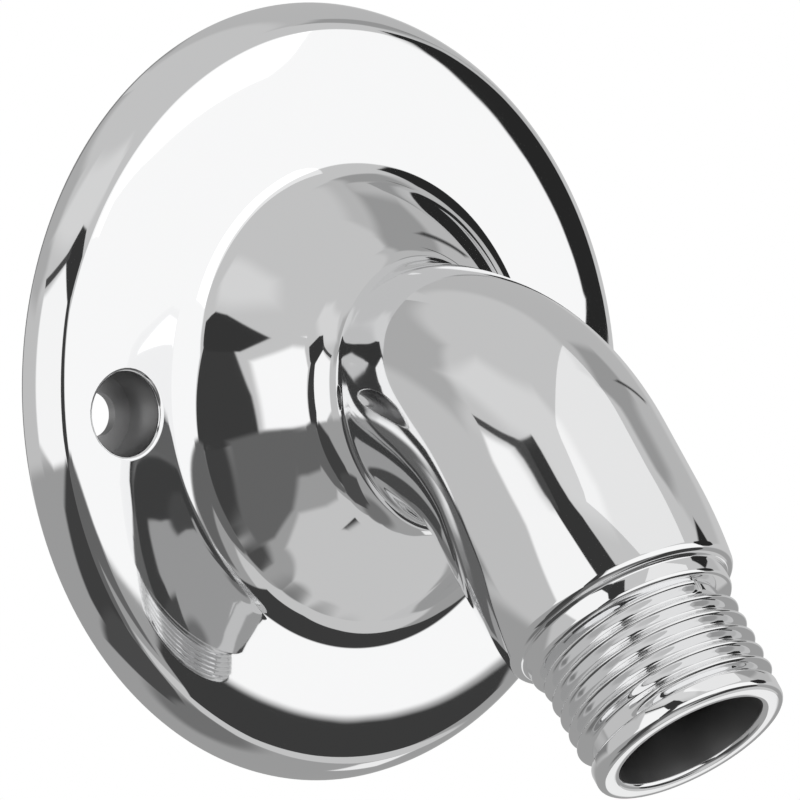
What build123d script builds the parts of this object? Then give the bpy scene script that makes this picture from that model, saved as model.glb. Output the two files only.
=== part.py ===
import os
from math import acos, cos, radians, sin, sqrt, tan

from build123d import *

# A wall-mounted shower arm: a forged, drilled and plated brass body in one piece. The
# wall is the plane Y = 0, the arm reaches out along -Y and bends down, and +Z is up.

# Wall plate: a round disc whose flat face curves down to a broken edge and a sloping, curved rim
plate_diameter = 80.0
face_height = 5.65
face_edge_width = 9.5
rim_width = 2.4
rim_height = 4.74
rim_curve_radius = 8.0
rim_edge_chamfer = 0.6
back_edge_chamfer = 0.4

# Dome that carries the arm, inside a ring of flat face and a little below the plate's middle
face_ring_width = 16.4
dome_height = 20.3
dome_curve_radius = 40.0
dome_drop = 1.2
dome_root_fillet = 4.3

# Elbow
arm_diameter = 25.7
bend_start = 15.45
bend_radius = 22.0
bend_angle = 55.4
arm_root_fillet = 4.8

# Straight run, then a barrelled stretch to the shoulder
straight_length = 7.55
barrel_length = 9.0
barrel_drop = 0.7
shoulder_chamfer = 0.6

# Outlet: collar, relief groove and the blank of a G 1/2 pipe thread
collar_diameter = 22.0
collar_length = 1.9
relief_width = 1.4
relief_depth = 1.18
outlet_thread_diameter = 20.955
outlet_thread_length = 11.5
thread_end_chamfer = 0.9

# Waterway: bored at the outlet, then drilled from both ends to meet in the bend
outlet_wall = 1.5
outlet_bore_depth = 24.0
outlet_lip_chamfer = 0.5
passage_diameter = 12.0
inlet_thread_diameter = 18.631
inlet_depth = 14.0
inlet_mouth_chamfer = 1.0

# Fixing screws: two on the horizontal diameter, heads sunk below the face
screw_edge_distance = 9.2
screw_hole_diameter = 4.5
screw_head_diameter = 8.4
screw_seat_thickness = 1.0
screw_mouth_chamfer = 0.4
screw_pad_diameter = 12.0

# Recess turned in the back, between the inlet boss and the screw pads
recess_depth = 3.0
inlet_boss_wall = 5.0

plate_radius = plate_diameter / 2
face_edge_radius = plate_radius - face_edge_width
dome_root_radius = plate_radius - face_ring_width
arm_radius = arm_diameter / 2
shoulder_radius = arm_radius - barrel_drop
collar_radius = collar_diameter / 2
outlet_thread_radius = outlet_thread_diameter / 2
relief_radius = outlet_thread_radius - relief_depth
outlet_bore_radius = relief_radius - outlet_wall
inlet_thread_radius = inlet_thread_diameter / 2
recess_inner_radius = inlet_thread_radius + inlet_boss_wall
screw_spacing = plate_diameter - 2 * screw_edge_distance
recess_outer_radius = screw_spacing / 2 - screw_pad_diameter / 2

# The dome's side is an arc from its root up to a point inside the arm; the root then curves
# into the face between the two places found here
dome_root = Vector(dome_root_radius, face_height)
dome_top = Vector(0, dome_height)
dome_chord = dome_root - dome_top
dome_setback = sqrt(dome_curve_radius**2 - (dome_chord.length / 2) ** 2)
dome_centre = (dome_root + dome_top) / 2 - Vector(-dome_chord.Y, dome_chord.X).normalized() * dome_setback
root_reach = dome_curve_radius + dome_root_fillet
root_slope = acos((face_height + dome_root_fillet - dome_centre.Y) / root_reach)
root_foot_radius = dome_centre.X + root_reach * sin(root_slope)

# The straight legs of the arm's axis meet this far beyond each end of the bend
bend_tangent = bend_radius * tan(radians(bend_angle / 2))

# Radial sections: x is the distance from the axis they are turned about, y the height off the wall
plate_section = Plane(origin=(0, 0, 0), x_dir=(1, 0, 0), z_dir=(0, 0, -1))
dome_section = Plane(origin=(0, 0, -dome_drop), x_dir=(1, 0, 0), z_dir=(0, 0, -1))
wall_plane = Plane(origin=(0, 0, 0), x_dir=(1, 0, 0), z_dir=(0, 1, 0))

with BuildPart() as shower_arm:
    # Plate, turned about the inlet axis
    with BuildSketch(plate_section) as plate_profile:
        with BuildLine():
            back_edge = (plate_radius, 0)
            rim_edge = (plate_radius - rim_width, rim_height)
            face_edge = (face_edge_radius, face_height)
            RadiusArc(back_edge, rim_edge, -rim_curve_radius)
            TangentArc(face_edge, rim_edge, tangent=(1, 0))
            Polyline(face_edge, (0, face_height), (0, 0), back_edge)
        make_face()
        chamfer(plate_profile.vertices().sort_by_distance(back_edge)[0], back_edge_chamfer)
        chamfer(plate_profile.vertices().sort_by_distance(rim_edge)[0], rim_edge_chamfer)
    revolve(axis=Axis.Y)

    # Dome, turned about its own axis; its root runs out on the flat face
    with BuildSketch(dome_section):
        with BuildLine():
            root_on_face = Vector(root_foot_radius, face_height)
            root_corner = Vector(root_foot_radius - dome_root_fillet * tan(root_slope / 2), face_height)
            root_on_dome = dome_centre + Vector(sin(root_slope), cos(root_slope)) * dome_curve_radius
            Bezier(root_on_face, root_corner, root_on_dome)
            RadiusArc(root_on_dome, dome_top, -dome_curve_radius)
            Polyline(dome_top, (0, 0), (root_foot_radius, 0), root_on_face)
        make_face()
    revolve(axis=Axis(dome_section.origin, (0, 1, 0)))

    # Arm: a round bar from inside the dome, round the bend and along the straight run
    with BuildLine(Plane.YZ) as arm_path:
        arm_stub = Line((0, 0), (-bend_start, 0))
        # The bend: one smooth curve that follows an arc of the bend radius
        bend_arc = JernArc(arm_stub @ 1, (-1, 0), bend_radius, bend_angle, mode=Mode.PRIVATE)
        bend_handle = bend_radius * tan(radians(bend_angle / 4)) * 4 / 3
        bend_entry = bend_arc @ 0 + (bend_arc % 0) * bend_handle
        bend_exit = bend_arc @ 1 - (bend_arc % 1) * bend_handle
        elbow = Bezier(bend_arc @ 0, bend_entry, bend_exit, bend_arc @ 1)
        straight_run = Line(elbow @ 1, elbow @ 1 + (elbow % 1) * straight_length)
    with BuildSketch(Plane.XZ):
        Circle(arm_radius)
    sweep(path=arm_path.line)
    arm_end = straight_run @ 1
    outlet_direction = straight_run % 1

    # Blend of the arm into the dome
    arm_root = shower_arm.edges(Select.NEW).filter_by(lambda edge: edge.center().Y > -dome_height)
    fillet(arm_root, arm_root_fillet)

    # Barrel, shoulder, collar, relief groove and thread blank, turned about the outlet axis:
    # x is the distance from that axis, y the distance from the end of the straight run
    outlet_section = Plane(arm_end, x_dir=(1, 0, 0), z_dir=Vector(1, 0, 0).cross(outlet_direction))
    collar_end = barrel_length + collar_length
    relief_middle = collar_end + relief_width / 2
    thread_start = collar_end + relief_width
    outlet_end = thread_start + outlet_thread_length
    with BuildSketch(outlet_section) as outlet_profile:
        with BuildLine():
            barrel_edge = (arm_radius, 0)
            shoulder_edge = (shoulder_radius, barrel_length)
            thread_tip = (outlet_thread_radius, outlet_end)
            TangentArc(barrel_edge, shoulder_edge, tangent=(0, 1))
            Polyline(shoulder_edge, (collar_radius, barrel_length), (collar_radius, collar_end))
            Polyline((collar_radius, collar_end), (relief_radius, relief_middle), (outlet_thread_radius, thread_start))
            Polyline((outlet_thread_radius, thread_start), thread_tip, (0, outlet_end), (0, 0), barrel_edge)
        make_face()
        chamfer(outlet_profile.vertices().sort_by_distance(shoulder_edge)[0], shoulder_chamfer)
        chamfer(outlet_profile.vertices().sort_by_distance(thread_tip)[0], thread_end_chamfer)
    revolve(axis=Axis(arm_end, outlet_direction))

    # Waterway: two straight drillings that meet in the bend
    outlet_plane = Plane(arm_end + outlet_direction * outlet_end, x_dir=(1, 0, 0), z_dir=outlet_direction)
    with BuildLine(Plane.YZ) as passage_path:
        inlet_drilling = Line((0, 0), (-bend_start - bend_tangent, 0))
        Line(inlet_drilling @ 1, outlet_plane.origin)
    with BuildSketch(Plane.XZ):
        Circle(passage_diameter / 2)
    sweep(path=passage_path.line, transition=Transition.RIGHT, mode=Mode.SUBTRACT)

    # Bore of the outlet, its lip broken
    with Locations(outlet_plane):
        Hole(outlet_bore_radius, depth=outlet_bore_depth)
    outlet_lip = shower_arm.edges(Select.NEW).sort_by_distance(outlet_plane.origin)[0]
    chamfer(outlet_lip, outlet_lip_chamfer)

    # Socket of the inlet, tapped G 1/2
    with Locations(wall_plane):
        Hole(inlet_thread_radius, depth=inlet_depth)
    inlet_mouth = shower_arm.edges(Select.NEW).sort_by(Axis.Y)[-1]
    chamfer(inlet_mouth, inlet_mouth_chamfer)

    # Screw holes, with their mouths broken into the face
    with Locations(Plane.XZ.offset(face_height)):
        with GridLocations(screw_spacing, 0, 2, 1):
            CounterBoreHole(
                radius=screw_hole_diameter / 2,
                counter_bore_radius=screw_head_diameter / 2,
                counter_bore_depth=face_height - screw_seat_thickness,
                depth=face_height,
            )
    screw_mouths = shower_arm.edges(Select.NEW).filter_by(lambda edge: edge.center().Y < -rim_height)
    chamfer(screw_mouths, screw_mouth_chamfer)

    # Turned recess in the back
    with BuildSketch(wall_plane):
        Circle(recess_outer_radius)
        Circle(recess_inner_radius, mode=Mode.SUBTRACT)
    extrude(amount=-recess_depth, mode=Mode.SUBTRACT)

shower_arm.part.label = "shower_arm"

os.makedirs("parts", exist_ok=True)
export_step(shower_arm.part, "parts/shower_arm.step")
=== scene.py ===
from math import asin, atan2, cos, hypot, pi, radians, sin, sqrt, tan

import bmesh
import bpy
from mathutils import Matrix, Vector


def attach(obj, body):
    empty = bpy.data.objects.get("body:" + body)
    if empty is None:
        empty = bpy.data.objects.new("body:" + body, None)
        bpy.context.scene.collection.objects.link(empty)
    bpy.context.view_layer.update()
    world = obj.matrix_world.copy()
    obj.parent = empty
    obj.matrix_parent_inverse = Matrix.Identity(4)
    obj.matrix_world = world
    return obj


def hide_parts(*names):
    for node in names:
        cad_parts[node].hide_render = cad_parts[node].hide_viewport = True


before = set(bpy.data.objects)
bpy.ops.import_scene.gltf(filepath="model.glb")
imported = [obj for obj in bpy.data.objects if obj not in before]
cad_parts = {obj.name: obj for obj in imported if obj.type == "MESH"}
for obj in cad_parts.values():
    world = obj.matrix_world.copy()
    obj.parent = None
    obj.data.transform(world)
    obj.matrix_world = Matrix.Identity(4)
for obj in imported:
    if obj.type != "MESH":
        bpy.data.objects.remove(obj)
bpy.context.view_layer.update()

# The wall is the plane Y = 0, the arm reaches out along -Y and bends down, and +Z is up.
# Sizes are in millimetres until the finished mesh is scaled to metres.
mm = 0.001

# Columns round the axes, and rows along the outline
columns = 240
window_rows = 12
flat_rows = 5
rim_rows = 9
edge_rows = 8
root_rows = 12
dome_rows = 8
blend_rows = 14
bend_rows = 30
straight_rows = 5
barrel_rows = 10
outlet_thread_rows = 132
bore_rows = 4
inlet_thread_rows = 58
mouth_rows = 5

# Points within a hair of each other are one, and a point near a place of the outline lies on it
hair = 1e-4
near = 1e-3
margin = 0.01

# Wall plate: a flat face that curves down to a rounded edge and a sloping rim
plate_radius = 40.0
rim_width = 2.4
rim_height = 4.74
rim_curve = 8.0
rim_edge_round = 2.4
face_edge_radius = 30.5
face_height = 5.65
back_edge_round = 0.4

# Dome that carries the arm, a little below the plate's middle
dome_root_radius = 23.6
dome_height = 20.3
dome_curve = 40.0
dome_drop = 1.2
dome_root_fillet = 4.3

# Arm
arm_radius = 12.85
bend_start = 15.45
bend_radius = 22.0
bend = radians(55.4)
arm_root_fillet = 4.8
straight_length = 7.55
barrel_length = 9.0
shoulder_radius = 12.15
shoulder_round = 0.8

# Outlet, measured along its axis from the shoulder
collar_radius = 11.0
collar_length = 1.9
collar_round = 0.45
collar_foot_round = 0.2
thread_crest_radius = 10.4775
thread_root_radius = 9.3155
thread_pitch = 1.814
thread_low = 2.15
thread_high = 12.55
thread_crest_at_start = 2.05
thread_begins = radians(79)
thread_ends = radians(1965)
thread_run_in = radians(10)
thread_run_out = radians(25)
thread_most_turns = 8
end_ring_radius = 10.2
end_ring_low = 12.75
outlet_length = 14.8
end_ring_round = 0.7
end_ring_foot_round = 0.3
outlet_lip_round = 0.6

# Waterway
outlet_bore_radius = 7.7975
outlet_bore_depth = 24.0
passage_radius = 6.0
inlet_radius = 9.3155
inlet_depth = 14.0
inlet_chamfer = 1.0
inlet_thread_depth = 11.4
inlet_run_in = 0.4

# Back of the plate and the screw holes
recess_inner_radius = 14.3155
recess_outer_radius = 24.8
recess_depth = 3.0
recess_edge_chamfer = 0.3
land_margin = 0.05
wall_margin = 0.02
screw_distance = 30.8
screw_hole_radius = 2.25
screw_head_radius = 4.2
screw_seat_height = 1.0
screw_mouth_round = 0.45
screw_mouth_margin = 0.08
screw_window = radians(12)


def cap_radius(half_chord, rise):
    return (half_chord**2 + rise**2) / (2 * rise)


# Points and circles of the radial section, as (distance from the axis, height off the wall)
def meet(first, first_reach, second, second_reach):
    """Point at given distances from two others, the one further from the axis."""
    apart = hypot(second[0] - first[0], second[1] - first[1])
    along = (first_reach**2 - second_reach**2 + apart**2) / (2 * apart)
    aside = sqrt(first_reach**2 - along**2)
    line = ((second[0] - first[0]) / apart, (second[1] - first[1]) / apart)
    foot = (first[0] + line[0] * along, first[1] + line[1] * along)
    meetings = [
        (foot[0] - side * line[1] * aside, foot[1] + side * line[0] * aside)
        for side in (1, -1)
    ]
    return max(meetings)


def towards(start, through, length):
    """Point at a distance from the start, on the line through another point."""
    share = length / hypot(through[0] - start[0], through[1] - start[1])
    return (start[0] + (through[0] - start[0]) * share, start[1] + (through[1] - start[1]) * share)


rim_edge = (plate_radius - rim_width, rim_height)
face_edge = (face_edge_radius, face_height)
rim_chord = atan2(rim_height, -rim_width)
rim_half_angle = asin(hypot(rim_width, rim_height) / 2 / rim_curve)
rim_out = rim_chord - pi / 2 - rim_half_angle
rim_centre = (plate_radius - rim_curve * cos(rim_out), -rim_curve * sin(rim_out))

face_curve = cap_radius(rim_edge[0] - face_edge_radius, face_height - rim_height)
face_centre = (face_edge_radius, face_height - face_curve)

edge_centre = meet(rim_centre, rim_curve - rim_edge_round, face_centre, face_curve - rim_edge_round)
edge_on_rim = towards(rim_centre, edge_centre, rim_curve)
edge_on_face = towards(face_centre, edge_centre, face_curve)

# The dome's side is an arc from its root up to a point inside the arm
dome_chord = hypot(dome_root_radius, dome_height - face_height)
dome_setback = sqrt(dome_curve**2 - (dome_chord / 2) ** 2)
dome_point = (
    dome_root_radius / 2 - (dome_height - face_height) / dome_chord * dome_setback,
    (dome_height + face_height) / 2 - dome_root_radius / dome_chord * dome_setback,
)
root_rise = face_height + dome_root_fillet - dome_point[1]
root_run = sqrt((dome_curve + dome_root_fillet) ** 2 - root_rise**2)
root_centre = (dome_point[0] + root_run, face_height + dome_root_fillet)
root_on_face = (root_centre[0], face_height)
root_on_dome = towards(dome_point, root_centre, dome_curve)

arm_reach = dome_curve + arm_root_fillet
blend_distance = arm_radius + arm_root_fillet
blend_rise = sqrt(arm_reach**2 - (blend_distance - dome_point[0]) ** 2)
blend_centre = (blend_distance, dome_point[1] + blend_rise)
blend_on_dome = towards(dome_point, blend_centre, dome_curve)
blend_on_arm = (arm_radius, blend_centre[1])

# Distances along the arm's axis, from the wall
bend_end = bend_start + bend_radius * bend
straight_end = bend_end + straight_length
shoulder = straight_end + barrel_length
outlet_end = shoulder + outlet_length
bore_end = outlet_end - outlet_bore_depth
drillings_meet = bend_start + bend_radius * tan(bend / 2)
barrel_radius = cap_radius(barrel_length, arm_radius - shoulder_radius)


# Radial section, drawn as one closed outline
arm = bmesh.new()
unpolished_and_shaded = arm.verts.layers.float.new("unpolished_and_shaded")


def line_to(tip, point, rows=1):
    step = (Vector((point[0], -point[1], 0)) - tip.co) / rows
    for row in range(rows):
        tip = bmesh.ops.extrude_vert_indiv(arm, verts=[tip])["verts"][0]
        bmesh.ops.translate(arm, vec=step, verts=[tip])
    return tip


def arc_to(tip, centre, point, rows):
    centre = Vector((centre[0], -centre[1], 0))
    target = Vector((point[0], -point[1], 0))
    start = tip.co - centre
    angle = start.xy.angle_signed((target - centre).xy)
    swung = bmesh.ops.spin(arm, geom=[tip], cent=centre, axis=(0, 0, 1), angle=-angle, steps=rows)
    new_tip = [item for item in swung["geom_last"] if isinstance(item, bmesh.types.BMVert)][0]
    new_tip.co = target
    return new_tip


first = bmesh.ops.create_vert(arm, co=(recess_outer_radius, 0, 0))["vert"][0]
tip = line_to(first, (plate_radius, 0), window_rows)
tip = arc_to(tip, rim_centre, edge_on_rim, rim_rows)
tip = arc_to(tip, edge_centre, edge_on_face, edge_rows)
tip = arc_to(tip, face_centre, face_edge, window_rows - flat_rows)
tip = line_to(tip, root_on_face, flat_rows)
tip = arc_to(tip, root_centre, root_on_dome, root_rows)
tip = arc_to(tip, dome_point, blend_on_dome, dome_rows)
tip = arc_to(tip, blend_centre, blend_on_arm, blend_rows)
tip = line_to(tip, (arm_radius, bend_end), bend_rows)
tip = line_to(tip, (arm_radius, straight_end), straight_rows)
barrel_centre = (arm_radius - barrel_radius, straight_end)
tip = arc_to(tip, barrel_centre, (shoulder_radius, shoulder), barrel_rows)
tip = line_to(tip, (collar_radius, shoulder))
tip = line_to(tip, (collar_radius, shoulder + collar_length))
tip = line_to(tip, (thread_root_radius, shoulder + thread_low))
tip = line_to(tip, (thread_root_radius, shoulder + thread_high), outlet_thread_rows)
tip = line_to(tip, (end_ring_radius, shoulder + end_ring_low))
tip = line_to(tip, (end_ring_radius, outlet_end))
tip = line_to(tip, (outlet_bore_radius, outlet_end))
tip = line_to(tip, (outlet_bore_radius, bore_end), bore_rows)
tip = line_to(tip, (passage_radius, bore_end))
tip = line_to(tip, (passage_radius, drillings_meet))
tip = line_to(tip, (passage_radius, inlet_depth))
tip = line_to(tip, (inlet_radius, inlet_depth))
tip = line_to(tip, (inlet_radius, inlet_thread_depth))
tip = line_to(tip, (inlet_radius, inlet_chamfer), inlet_thread_rows)
tip = line_to(tip, (inlet_radius + inlet_chamfer, 0))
tip = line_to(tip, (recess_inner_radius, 0))
tip = line_to(tip, (recess_inner_radius, recess_depth))
tip = line_to(tip, (recess_outer_radius, recess_depth))
tip = line_to(tip, (recess_outer_radius, 0))
bmesh.ops.remove_doubles(arm, verts=arm.verts[:], dist=hair)

# Turn the outline about the inlet axis
bmesh.ops.spin(
    arm, geom=arm.verts[:] + arm.edges[:], cent=(0, 0, 0), axis=(0, 1, 0), angle=2 * pi, steps=columns,
    use_merge=True,
)
bmesh.ops.remove_doubles(arm, verts=arm.verts[:], dist=hair)


def place_of(vert):
    """Distance from the inlet axis, angle about it and height off the wall."""
    return hypot(vert.co.x, vert.co.z), atan2(vert.co.z, vert.co.x), -vert.co.y


def ring_at(point):
    def on_ring(vert):
        distance, angle, height = place_of(vert)
        return abs(distance - point[0]) < near and abs(height - point[1]) < near

    return [edge for edge in arm.edges if on_ring(edge.verts[0]) and on_ring(edge.verts[1])]


def break_edge(point, size, segments):
    bmesh.ops.bevel(
        arm, geom=ring_at(point), offset=size, offset_type="OFFSET", segments=segments, profile=0.5,
        affect="EDGES", material=-1,
    )


# Broken edges of the plate, the shoulder, the collar and the outlet
break_edge((plate_radius, 0), back_edge_round, 3)
break_edge((recess_outer_radius, 0), recess_edge_chamfer, 1)
break_edge((recess_inner_radius, 0), recess_edge_chamfer, 1)
break_edge((shoulder_radius, shoulder), shoulder_round, 6)
break_edge((collar_radius, shoulder), collar_foot_round, 2)
break_edge((collar_radius, shoulder + collar_length), collar_round, 4)
break_edge((end_ring_radius, shoulder + end_ring_low), end_ring_foot_round, 3)
break_edge((end_ring_radius, outlet_end), end_ring_round, 5)
break_edge((outlet_bore_radius, outlet_end), outlet_lip_round, 5)


def thread_form(off_crest):
    """Share of the thread's full height at a distance from its crest."""
    return 0.5 + 0.5 * cos(2 * pi * off_crest / thread_pitch)


def thread_height(along, angle):
    """Height of the pipe thread above its root, as a share of the crest's height."""
    turn = angle % (2 * pi)
    tallest = 0.0
    for number in range(thread_most_turns):
        wound = turn + 2 * pi * number
        if wound < thread_begins or wound > thread_ends:
            continue
        off_crest = along - thread_crest_at_start - thread_pitch * wound / (2 * pi)
        if abs(off_crest) > thread_pitch / 2:
            continue
        run_in = (wound - thread_begins) / thread_run_in
        run_out = (thread_ends - wound) / thread_run_out
        tallest = max(tallest, min(run_in, run_out, 1) * thread_form(off_crest))
    return tallest


def groove_depth(height, angle):
    """Depth of the tapped thread of the inlet, as a share of its full depth."""
    off_groove = height - thread_pitch * angle / (2 * pi)
    run_in = (height - inlet_chamfer) / inlet_run_in
    run_out = (inlet_thread_depth - height) / thread_pitch
    return min(run_in, run_out, 1) * thread_form(off_groove)


# The waterway and the back of the plate are left unpolished: rougher and darker, and the darker colour in
# the waterway is painted shade
for vert in arm.verts:
    distance, angle, height = place_of(vert)
    in_bore = distance < outlet_bore_radius + margin
    in_socket = distance < inlet_radius + margin and height < inlet_depth + margin
    on_land = height < margin and distance < plate_radius - back_edge_round + land_margin
    in_recess = height < recess_depth + margin and distance < recess_outer_radius + margin
    vert[unpolished_and_shaded] = float(in_bore or in_socket or on_land or in_recess)

# Roll the outlet's thread and tap the inlet's
thread_depth = thread_crest_radius - thread_root_radius
for vert in arm.verts:
    distance, angle, height = place_of(vert)
    along = height - shoulder
    rise = 0
    if abs(distance - thread_root_radius) < near and thread_low - near < along < thread_high + near:
        rise = thread_depth * thread_height(along, angle)
    elif abs(distance - inlet_radius) < near and inlet_chamfer < height < inlet_thread_depth:
        rise = thread_depth * groove_depth(height, angle)
    if rise:
        vert.co.x *= (distance + rise) / distance
        vert.co.z *= (distance + rise) / distance


def axis_at(along):
    """Point of the bent axis and the direction that was up before the bend."""
    turned = min(max((along - bend_start) / bend_radius, 0), bend)
    before = min(along, bend_start)
    after = max(along - bend_end, 0)
    point = Vector((
        0,
        -before - bend_radius * sin(turned) - after * cos(turned),
        -bend_radius * (1 - cos(turned)) - after * sin(turned),
    ))
    return point, Vector((0, -sin(turned), cos(turned)))


def out_from_axis(along, angle, distance):
    point, up = axis_at(along)
    return point + distance * (cos(angle) * Vector((1, 0, 0)) + sin(angle) * up)


def slope_at(distance, height):
    """Slope of the dome's side at the foot of a point of the radial section."""
    return atan2(distance - dome_point[0], height - dome_point[1])


def on_dome_at(slope, angle):
    distance = dome_point[0] + dome_curve * sin(slope)
    height = dome_point[1] + dome_curve * cos(slope)
    return Vector((distance * cos(angle), -height, distance * sin(angle) - dome_drop))


def blend_at(angle):
    """Where a ball in the corner between the dome and the bent arm touches, for one line along the arm."""
    low, high = 0.0, bend_end
    for step in range(50):
        along = (low + high) / 2
        ball = out_from_axis(along, angle, blend_distance)
        distance = hypot(ball.x, ball.z + dome_drop)
        if hypot(distance - dome_point[0], -ball.y - dome_point[1]) < arm_reach:
            low = along
        else:
            high = along
    slope = slope_at(distance, -ball.y)
    around = atan2(ball.z + dome_drop, ball.x)
    return along, ball, slope, around


blends = {}


def column_blend(angle):
    column = round(angle / (2 * pi) * columns) % columns
    if column not in blends:
        blends[column] = blend_at(2 * pi * column / columns)
    return blends[column]


def round_blend(distance, height):
    return atan2(blend_centre[1] - height, blend_centre[0] - distance)


dome_root_slope = slope_at(*root_on_dome)
dome_top_slope = slope_at(*blend_on_dome)
blend_first = round_blend(*blend_on_dome)
blend_last = round_blend(*blend_on_arm)


def face_drop(distance):
    """How far the flat face's rows are lowered with the dome."""
    share = (face_edge_radius - distance) / (face_edge_radius - root_on_face[0])
    return dome_drop * min(max(share, 0), 1)


# Bend the arm, lower the dome, and lead the dome and the blend to the arm
for vert in arm.verts:
    distance, angle, height = place_of(vert)
    outside = distance > screw_head_radius and distance < root_on_dome[0] + near
    if abs(distance - passage_radius) < near and abs(height - drillings_meet) < near:
        vert.co.y -= vert.co.z * tan(bend / 2)
    elif height > blend_on_arm[1] - near and distance > passage_radius + near or height > bore_end - near:
        along = height
        if height < bend_end:
            start = column_blend(angle)[0]
            along = start + (height - blend_on_arm[1]) / (bend_end - blend_on_arm[1]) * (bend_end - start)
        vert.co = out_from_axis(along, angle, distance)
    elif outside and abs(hypot(distance - dome_point[0], height - dome_point[1]) - dome_curve) < near:
        share = (slope_at(distance, height) - dome_root_slope) / (dome_top_slope - dome_root_slope)
        start, ball, slope, around = column_blend(angle)
        swing = (around - angle + pi) % (2 * pi) - pi
        vert.co = on_dome_at(dome_root_slope + share * (slope - dome_root_slope), angle + share * swing)
    elif distance < blend_on_dome[0] and distance > arm_radius and height > blend_on_dome[1] - near:
        share = (round_blend(distance, height) - blend_first) / (blend_last - blend_first)
        start, ball, slope, around = column_blend(angle)
        to_dome = on_dome_at(slope, around) - ball
        to_arm = out_from_axis(start, angle, arm_radius) - ball
        spoke = to_dome.slerp(to_arm, share)
        vert.co = ball + spoke.normalized() * arm_root_fillet
    elif root_on_dome[0] < distance < face_edge_radius and height > face_height - near:
        vert.co.z -= face_drop(distance)


def height_of_face(x, z):
    beyond = max(hypot(x, z) - face_edge_radius, 0)
    return face_centre[1] + sqrt(face_curve**2 - beyond**2)


def open_edges():
    return [edge for edge in arm.edges if edge.is_boundary]


def cut_window(side, front):
    """Take out the faces round a screw, from the front or the back of the plate."""
    taken = []
    for face in arm.faces:
        middle = face.calc_center_median()
        distance = hypot(middle.x, middle.z)
        lowered = face_drop(distance) if front else 0
        off_line = abs(atan2(middle.z + lowered, middle.x * side))
        if off_line > screw_window:
            continue
        flat = abs(middle.y + face_height) < hair
        curved = face_edge_radius < distance < edge_on_face[0] and middle.y < -rim_height
        between_edges = recess_outer_radius + recess_edge_chamfer < distance < plate_radius - back_edge_round
        if front and (flat or curved):
            taken.append(face)
        elif not front and between_edges and middle.y > -near:
            taken.append(face)
    bmesh.ops.delete(arm, geom=taken, context="FACES")


def draw_in(edges, side, radius, height_at):
    """Extrude an open edge and set it on a circle about the screw."""
    grown = bmesh.ops.extrude_edge_only(arm, edges=edges)["geom"]
    for vert in [item for item in grown if isinstance(item, bmesh.types.BMVert)]:
        spoke = Vector((vert.co.x - side * screw_distance, 0, vert.co.z)).normalized() * radius
        x = side * screw_distance + spoke.x
        vert.co = (x, -height_at(x, spoke.z), spoke.z)
    return [item for item in grown if isinstance(item, bmesh.types.BMEdge) and item.is_boundary]


# Screw holes, sunk for the heads
for side in (1, -1):
    cut_window(side, True)
    mouth_radius = screw_head_radius + screw_mouth_round + screw_mouth_margin
    edges = draw_in(open_edges(), side, mouth_radius, height_of_face)
    for step in range(mouth_rows + 1):
        turned = radians(90) * step / mouth_rows
        radius = screw_head_radius + screw_mouth_round * (1 - sin(turned))
        sunk = screw_mouth_round * (1 - cos(turned))
        edges = draw_in(edges, side, radius, lambda x, z: height_of_face(x, z) - sunk)
    edges = draw_in(edges, side, screw_head_radius, lambda x, z: screw_seat_height)
    edges = draw_in(edges, side, screw_hole_radius, lambda x, z: screw_seat_height)
    edges = draw_in(edges, side, screw_hole_radius, lambda x, z: 0)
    cut_window(side, False)
    bmesh.ops.bridge_loops(arm, edges=open_edges())

# The screw holes are left unpolished below their mouths: rougher, with a darker colour that is painted shade
# in the holes
for vert in arm.verts:
    in_hole = hypot(abs(vert.co.x) - screw_distance, vert.co.z) < screw_head_radius + margin
    if in_hole and vert.co.y > screw_mouth_round - face_height - margin:
        vert[unpolished_and_shaded] = 1

# Close the mesh, with the land on the wall flat and the sharp edges kept
sharp_edge = radians(38)
bmesh.ops.remove_doubles(arm, verts=arm.verts[:], dist=hair)
bmesh.ops.recalc_face_normals(arm, faces=arm.faces[:])
for face in arm.faces:
    on_wall = face.calc_center_median().y > -wall_margin
    face.smooth = not on_wall
for edge in arm.edges:
    edge.smooth = edge.calc_face_angle() < sharp_edge
bmesh.ops.scale(arm, vec=(mm, mm, mm), verts=arm.verts[:])

arm_mesh = bpy.data.meshes.new("plated_arm")
arm.to_mesh(arm_mesh)
arm.free()
plated_arm = bpy.data.objects.new("plated_arm", arm_mesh)
bpy.context.scene.collection.objects.link(plated_arm)
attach(plated_arm, "root")
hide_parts("shower_arm")


def node_graph(tree):
    def node(kind, **settings):
        made = tree.nodes.new(kind)
        for name, value in settings.items():
            setattr(made, name, value)
        return made

    return node


# Mirror-polished chrome with faint polishing waves and patches of lesser gloss, and a duller, grained skin
# where it is left unpolished, whose darker colour is painted shade in the waterway and screw holes
chrome = bpy.data.materials.new("chrome")
chrome.use_nodes = True
chrome_node = node_graph(chrome.node_tree)
link = chrome.node_tree.links.new
shader = chrome.node_tree.nodes["Principled BSDF"]
shader.inputs["Metallic"].default_value = 1
coordinates = chrome_node("ShaderNodeTexCoord")
dull_and_shaded = chrome_node("ShaderNodeAttribute", attribute_name="unpolished_and_shaded")
patches = chrome_node("ShaderNodeTexNoise")
patches.inputs["Scale"].default_value = 90
patches.inputs["Detail"].default_value = 3
link(coordinates.outputs["Object"], patches.inputs["Vector"])


def patchy(lowest, highest):
    """Roughness that varies with the patches."""
    spread = chrome_node("ShaderNodeMapRange")
    spread.inputs["From Min"].default_value = 0.3
    spread.inputs["From Max"].default_value = 0.7
    spread.inputs["To Min"].default_value = lowest
    spread.inputs["To Max"].default_value = highest
    link(patches.outputs["Fac"], spread.inputs["Value"])
    return spread.outputs["Result"]


# Darker grey base colour of the unpolished parts: painted shade in the waterway and screw holes, the plain
# unpolished skin on the back of the plate
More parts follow.
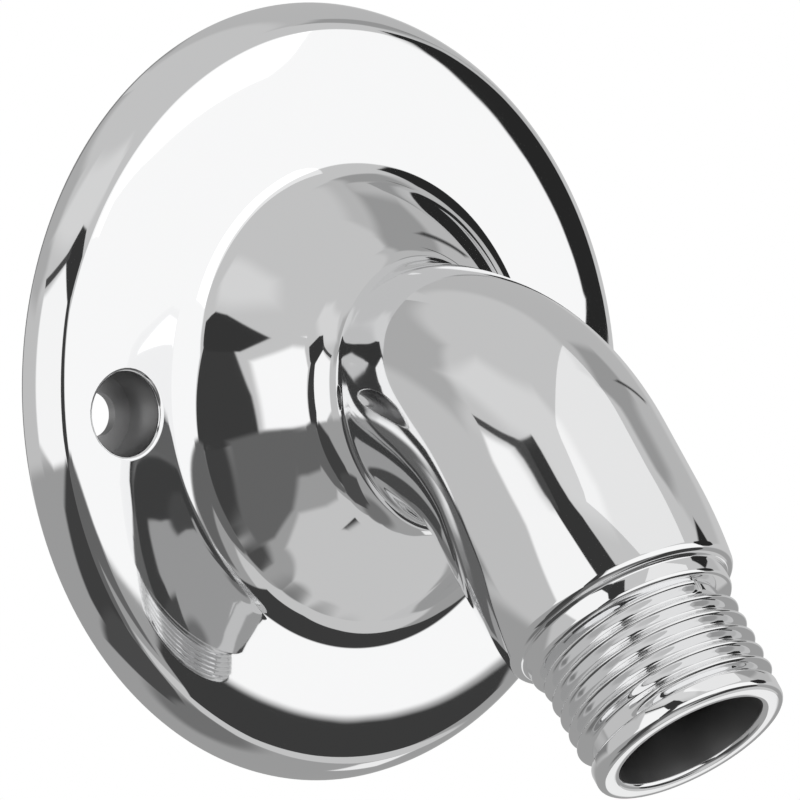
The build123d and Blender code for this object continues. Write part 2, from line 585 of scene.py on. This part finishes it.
skin_and_shade = chrome_node("ShaderNodeMix", data_type="RGBA")
skin_and_shade.inputs["A"].default_value = (0.36, 0.36, 0.365, 1)
skin_and_shade.inputs["B"].default_value = (0.5, 0.5, 0.5, 1)
link(patches.outputs["Fac"], skin_and_shade.inputs["Factor"])
tint = chrome_node("ShaderNodeMix", data_type="RGBA")
tint.inputs["A"].default_value = (0.93, 0.932, 0.936, 1)
link(skin_and_shade.outputs["Result"], tint.inputs["B"])
link(dull_and_shaded.outputs["Fac"], tint.inputs["Factor"])
link(tint.outputs["Result"], shader.inputs["Base Color"])
finish = chrome_node("ShaderNodeMapRange")
link(dull_and_shaded.outputs["Fac"], finish.inputs["Value"])
link(patchy(0.02, 0.05), finish.inputs["To Min"])
link(patchy(0.27, 0.42), finish.inputs["To Max"])
link(finish.outputs["Result"], shader.inputs["Roughness"])
waves = chrome_node("ShaderNodeTexNoise")
waves.inputs["Scale"].default_value = 140
waves.inputs["Detail"].default_value = 1
link(coordinates.outputs["Object"], waves.inputs["Vector"])
grain = chrome_node("ShaderNodeMapRange")
grain.inputs["To Min"].default_value = 0.02
grain.inputs["To Max"].default_value = 0.1
link(dull_and_shaded.outputs["Fac"], grain.inputs["Value"])
bump = chrome_node("ShaderNodeBump")
bump.inputs["Distance"].default_value = 0.001
link(grain.outputs["Result"], bump.inputs["Strength"])
link(waves.outputs["Fac"], bump.inputs["Height"])
link(bump.outputs["Normal"], shader.inputs["Normal"])
arm_mesh.materials.append(chrome)

# Plain pale floor, which the metal doesn't mirror
floor_half_width = 1.2
floor_level = -0.28
floor_mesh = bpy.data.meshes.new("floor")
floor_shape = bmesh.new()
bmesh.ops.create_grid(floor_shape, x_segments=1, y_segments=1, size=floor_half_width)
bmesh.ops.translate(floor_shape, vec=(0, 0, floor_level), verts=floor_shape.verts[:])
floor_shape.to_mesh(floor_mesh)
floor_shape.free()
floor = bpy.data.objects.new("floor", floor_mesh)
bpy.context.scene.collection.objects.link(floor)
floor.visible_glossy = False
pale = bpy.data.materials.new("pale_floor")
pale.use_nodes = True
pale_shader = pale.node_tree.nodes["Principled BSDF"]
pale_shader.inputs["Base Color"].default_value = (0.8, 0.8, 0.8, 1)
pale_shader.inputs["Roughness"].default_value = 0.7
floor_mesh.materials.append(pale)

# Studio round the object: each panel is a convex outline of directions, as degrees of azimuth from -Y
# towards +X and degrees of elevation, with its brightness and the softness of its edge
room_tone = 0.57
panels = [
    ("low ground", 0.34, 8, [(-185, -12), (185, -12), (185, -95), (-185, -95)]),
    ("ground below", 0.17, 10, [(-185, -74), (185, -74), (185, -95), (-185, -95)]),
    ("right wall", 0.48, 6, [(76, 10), (165, 14), (165, 58), (66, 58)]),
    ("right corner", 0.32, 5, [(66, 50), (70, 34), (92, 28), (100, 36), (92, 50)]),
    ("left wall", 0.54, 6, [(-185, 30), (-98, 26), (-93, 0), (-98, -14), (-185, -14)]),
    ("left ceiling", 0.42, 8, [(-185, 62), (-120, 58), (-106, 34), (-110, 24), (-185, 28)]),
    ("left skylight", 0.69, 10, [(-112, 42), (-80, 40), (-28, 44), (-22, 54), (-40, 66), (-100, 64)]),
    ("left window", 0.97, 3, [
        (-99, 28), (-72, 36), (-62, 29), (-55, 24), (-55, -12), (-80, -14), (-97, -8),
    ]),
    ("left cloth", 0.052, 4, [
        (-76, -24), (-60, -12), (-51, -13), (-45, -50), (-50, -72), (-90, -62), (-90, -48),
    ]),
    ("low cloth", 0.07, 5, [(-114, -58), (-60, -50), (-36, -57), (-29, -66), (-34, -80), (-100, -82)]),
    ("front window", 1, 2.5, [
        (-42, 20), (-26, 27), (-10, 31), (20, 32), (40, 28), (52, 20), (60, 4), (62, -4), (58, -13),
        (30, -14), (-40, -9),
    ]),
    ("table", 0.57, 3, [
        (-24, -60), (-24, -46), (104, -32), (108, -36), (104, -50), (84, -66), (50, -76), (0, -74),
    ]),
    ("table front", 0.045, 1.5, [
        (4, -54), (15, -27), (24, -15), (57, -15), (64, -24), (66, -36), (50, -48), (32, -56),
    ]),
    ("right screen", 0.021, 1.2, [
        (54, 20), (60, 28), (78, 26), (84, 18), (78, 7), (67, -4), (59, -5), (55, 6),
    ]),
    ("left screen", 0.045, 1, [(-58, 27), (-45, 27), (-43, 6), (-39.5, -11), (-54, -15), (-59, -6)]),
    ("screen foot", 0.13, 3, [
        (-51, -12), (-40, -9), (-30, -9), (-28, -30), (-27, -44), (-32, -55), (-40, -58), (-48, -46),
    ]),
    ("window sill", 0.13, 3, [(-34, -10), (8, -14), (13, -22), (8, -32), (-29, -30)]),
    ("screen head", 0.037, 1, [(-76, 38), (-62, 45), (-52, 42), (-34, 30), (-45, 24), (-57, 24)]),
    ("left rail", 0.066, 0.7, [(-70, 40), (-70, 37), (-100, 30), (-102, 32)]),
    ("right rail", 0.049, 0.8, [(88, 36), (92, 33), (107, 16), (104, 18)]),
    ("right back", 0.22, 8, [(148, 40), (155, 50), (200, 55), (200, -10), (150, 4)]),
    ("left back", 0.22, 8, [(-200, 55), (-155, 50), (-146, 20), (-148, -10), (-200, -14)]),
    ("low card", 0.88, 2, [(108, -37), (121, -37), (121, -47.5), (108, -47.5)]),
]
world = bpy.data.worlds.new("studio")
bpy.context.scene.world = world
world.use_nodes = True
world.cycles.sampling_method = "NONE"
studio_node = node_graph(world.node_tree)
link = world.node_tree.links.new


def calculate(operation, first, second=None):
    made = studio_node("ShaderNodeMath", operation=operation)
    for socket, value in zip(made.inputs, (first, second)):
        if isinstance(value, (int, float)):
            socket.default_value = value
        elif value is not None:
            link(value, socket)
    return made.outputs["Value"]


directions = studio_node("ShaderNodeTexCoord")
direction = studio_node("ShaderNodeSeparateXYZ")
link(directions.outputs["Generated"], direction.inputs["Vector"])
outwards = calculate("MULTIPLY", direction.outputs["Y"], -1)
azimuth = calculate("DEGREES", calculate("ARCTAN2", direction.outputs["X"], outwards))
elevation = calculate("DEGREES", calculate("ARCSINE", direction.outputs["Z"]))
heading = studio_node("ShaderNodeCombineXYZ")
heading.inputs["Z"].default_value = 1
link(azimuth, heading.inputs["X"])
link(elevation, heading.inputs["Y"])


def inside_edge(start, end, inner):
    """Degrees by which a direction lies inside one edge of a panel."""
    run, rise = end[0] - start[0], end[1] - start[1]
    length = hypot(run, rise)
    normal = (-rise / length, run / length)
    if (inner[0] - start[0]) * normal[0] + (inner[1] - start[1]) * normal[1] < 0:
        normal = (-normal[0], -normal[1])
    offset = -start[0] * normal[0] - start[1] * normal[1]
    distance = studio_node("ShaderNodeVectorMath", operation="DOT_PRODUCT")
    distance.inputs[1].default_value = (normal[0], normal[1], offset)
    link(heading.outputs["Vector"], distance.inputs[0])
    return distance.outputs["Value"]


brightness = calculate("ADD", room_tone, 0)
for name, tone, softness, corners in panels:
    inner = [sum(corner[axis] for corner in corners) / len(corners) for axis in (0, 1)]
    depth = inside_edge(corners[-1], corners[0], inner)
    for start, end in zip(corners, corners[1:]):
        depth = calculate("MINIMUM", depth, inside_edge(start, end, inner))
    panel = studio_node("ShaderNodeMapRange", label=name, interpolation_type="SMOOTHSTEP")
    panel.inputs["From Min"].default_value = -softness / 2
    panel.inputs["From Max"].default_value = softness / 2
    panel.inputs["To Max"].default_value = tone
    link(depth, panel.inputs["Value"])
    link(brightness, panel.inputs["To Min"])
    brightness = panel.outputs["Result"]

# The metal mirrors the studio, while the eye and the floor meet plain white
surround = world.node_tree.nodes["Background"]
link(brightness, surround.inputs["Color"])
backdrop = studio_node("ShaderNodeBackground")
backdrop.inputs["Color"].default_value = (1, 1, 1, 1)
light_path = studio_node("ShaderNodeLightPath")
plain = calculate("MAXIMUM", light_path.outputs["Is Camera Ray"], light_path.outputs["Is Diffuse Ray"])
either = studio_node("ShaderNodeMixShader")
link(plain, either.inputs["Fac"])
link(surround.outputs["Background"], either.inputs[1])
link(backdrop.outputs["Background"], either.inputs[2])
link(either.outputs["Shader"], world.node_tree.nodes["World Output"].inputs["Surface"])

# Pale reflector card held over the arm, out of the picture
card_tone = 0.27
card_width, card_depth = 0.1, 0.1
card_lamp = bpy.data.lights.new("reflector_card", "AREA")
card_lamp.shape = "RECTANGLE"
card_lamp.size = card_width
card_lamp.size_y = card_depth
card_lamp.energy = card_tone * pi * card_width * card_depth
card = bpy.data.objects.new("reflector_card", card_lamp)
card.location = (0.018, -0.11, 0.06)
card.rotation_euler = (0, 0, radians(32))
card.visible_camera = False
bpy.context.scene.collection.objects.link(card)

# Camera at the photograph's viewing angle
view_azimuth = radians(-41.74)
view_elevation = radians(2.37)
view_roll = radians(-3.73)
view_distance = 0.8
focal_pixels = 7785.91
picture_pixels = 800
origin_pixel = (320.17, 391.23)
sensor_width = 36
back = Vector((
    sin(view_azimuth) * cos(view_elevation),
    -cos(view_azimuth) * cos(view_elevation),
    sin(view_elevation),
))
level_right = Vector((cos(view_azimuth), sin(view_azimuth), 0))
level_up = back.cross(level_right)
right = cos(view_roll) * level_right + sin(view_roll) * level_up
up = cos(view_roll) * level_up - sin(view_roll) * level_right
camera_data = bpy.data.cameras.new("camera")
camera_data.sensor_width = sensor_width
camera_data.lens = focal_pixels * sensor_width / picture_pixels
camera_data.shift_x = (picture_pixels / 2 - origin_pixel[0]) / picture_pixels
camera_data.shift_y = (origin_pixel[1] - picture_pixels / 2) / picture_pixels
camera_data.clip_start = 0.01
camera = bpy.data.objects.new("camera", camera_data)
turn = Matrix((right, up, back)).transposed().to_4x4()
camera.matrix_world = Matrix.Translation(back * view_distance) @ turn
bpy.context.scene.collection.objects.link(camera)
bpy.context.scene.camera = camera
bpy.context.scene.view_settings.view_transform = "Standard"
